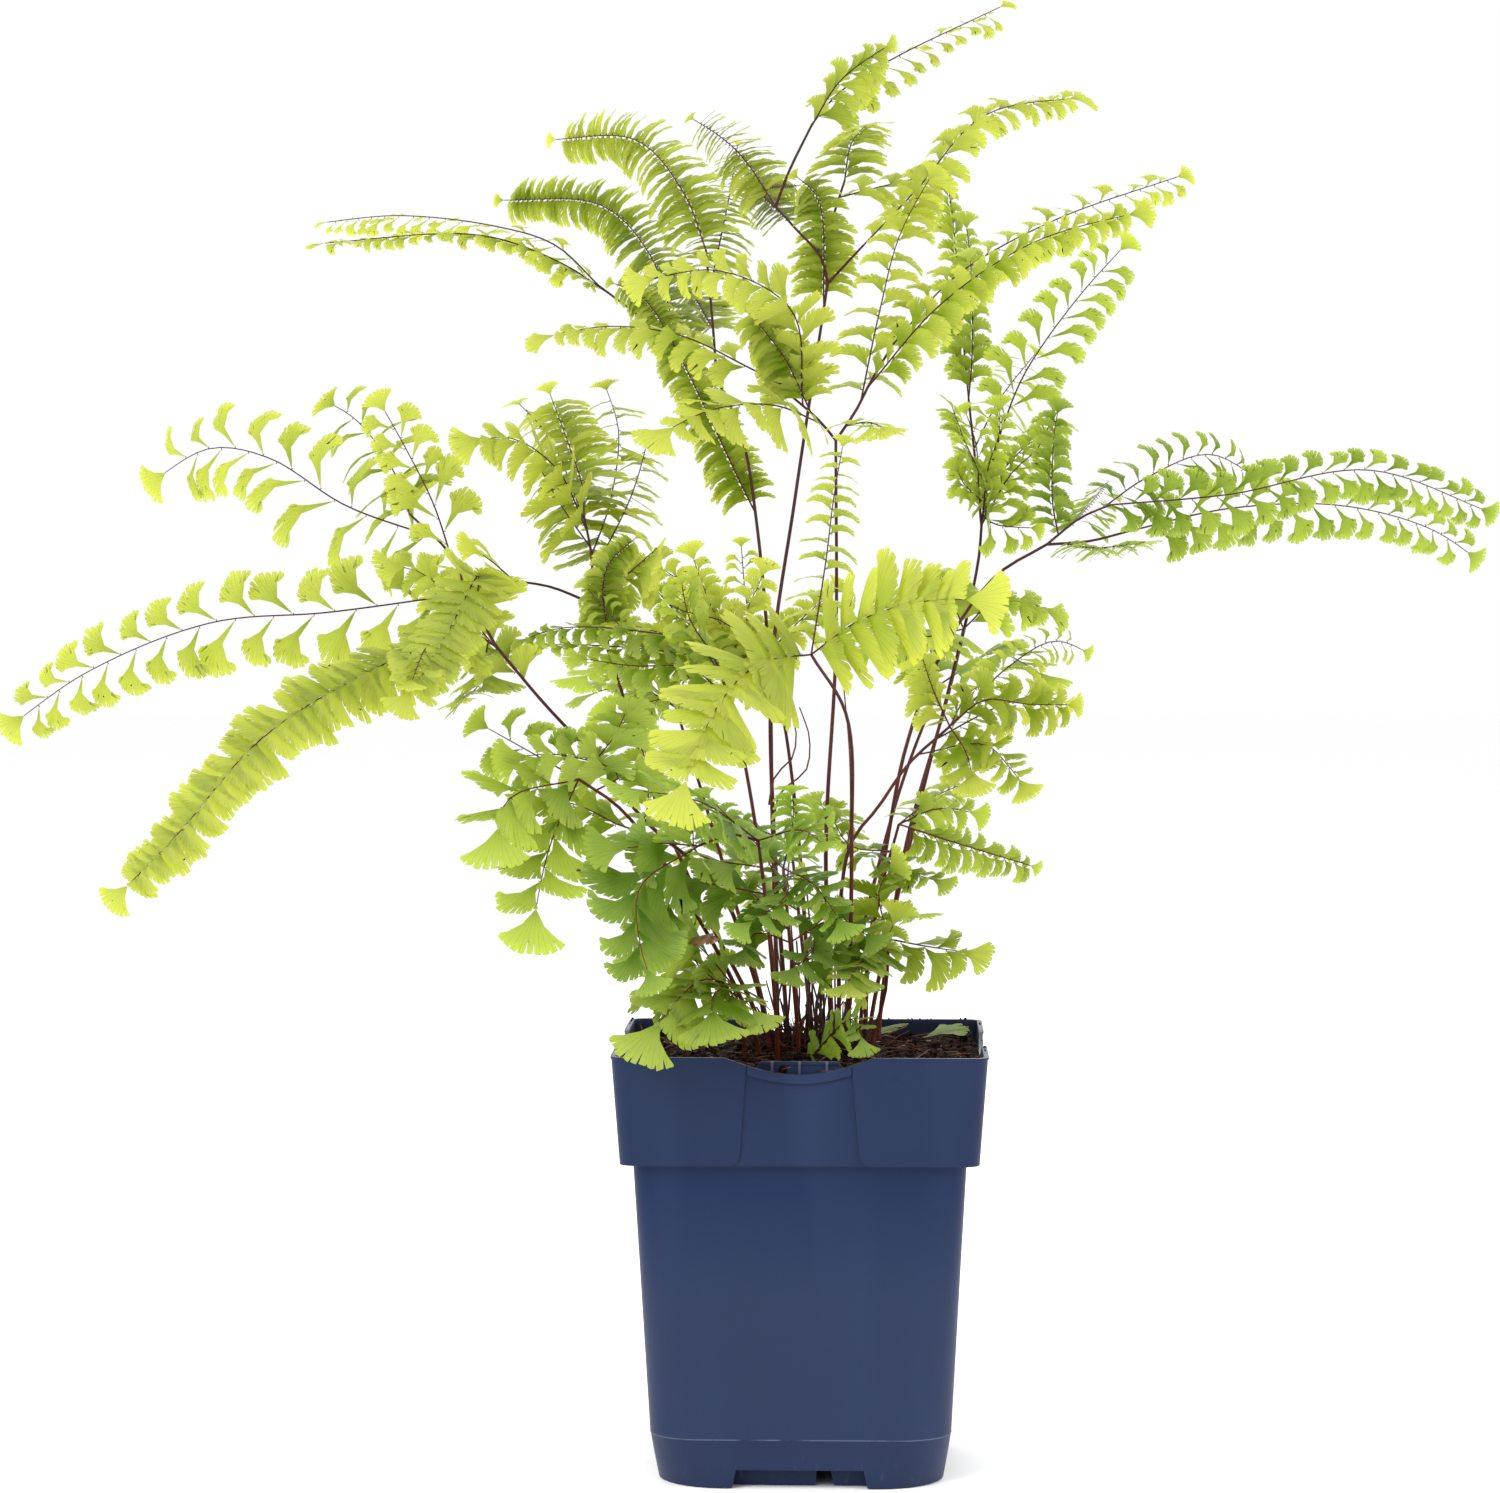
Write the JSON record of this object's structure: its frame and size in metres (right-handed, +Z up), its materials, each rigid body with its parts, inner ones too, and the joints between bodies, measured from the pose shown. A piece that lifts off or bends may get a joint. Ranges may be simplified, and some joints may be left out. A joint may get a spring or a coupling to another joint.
{
  "type": "potted fern",
  "caption": "Maidenhair fern with wiry forked stalks and comb-like leaflets, rooted in soil in a tapered square nursery pot with a collar.",
  "frame": {"origin": "middle of the round pad under the pot's floor, level with the pot's foot", "axes": "+Z up, -Y towards the front, where the label pocket is, +X to the right seen from the front"},
  "size_m": [0.4414, 0.2937, 0.4507],
  "materials": {
    "pot_plastic": "satin moulded dark blue plastic with a fine grain",
    "soil": "dark brown peat with reddish fibres and small clods",
    "old_stalk": "dry reddish brown stubs and root hairs",
    "stalk": "glossy, wiry, dark purple brown",
    "leaf_young": "thin translucent pale yellow green, with fine fan veins",
    "leaf_mid": "thin translucent bright green, with fine fan veins",
    "leaf_deep": "thin translucent mid green, with fine fan veins",
    "leaf_dead": "dry curled brown"
  },
  "bodies": {
    "root": {"pot": "pot_plastic", "soil": "soil", "old_stalks": "old_stalk", "front_tall_stalk": "stalk", "front_tall_leaves": "leaf_young", "back_tall_stalk": "stalk", "back_tall_leaves": "leaf_mid", "left_high_stalk": "stalk", "left_high_leaves": "leaf_mid", "right_low_stalk": "stalk", "right_low_leaves": "leaf_mid", "right_high_stalk": "stalk", "right_high_leaves": "leaf_mid", "left_low_stalk": "stalk", "left_low_leaves": "leaf_young", "left_mid_stalk": "stalk", "left_mid_leaves": "leaf_mid", "front_centre_stalk": "stalk", "front_centre_leaves": "leaf_young", "right_front_stalk": "stalk", "right_front_leaves": "leaf_young", "mid_back_stalk": "stalk", "mid_back_leaves": "leaf_mid", "low_left_stalk": "stalk", "low_left_leaves": "leaf_mid", "low_front_stalk": "stalk", "low_front_leaves": "leaf_mid", "base_left_stalk": "stalk", "base_left_leaves": "leaf_mid", "low_right_stalk": "stalk", "low_right_leaves": "leaf_deep", "base_right_stalk": "stalk", "base_right_leaves": "leaf_deep", "centre_low_stalk": "stalk", "centre_low_leaves": "leaf_deep", "mid_left_stalk": "stalk", "mid_left_leaves": "leaf_mid", "right_mid_stalk": "stalk", "right_mid_leaves": "leaf_mid", "rear_left_stalk": "stalk", "rear_left_leaves": "leaf_deep", "rear_right_stalk": "stalk", "rear_right_leaves": "leaf_mid", "rear_low_stalk": "stalk", "rear_low_leaves": "leaf_deep", "fallen_leaflet_left": "leaf_deep", "fallen_leaflet_right": "leaf_mid", "withered_leaflet": "leaf_dead"}
  },
  "joints": []
}
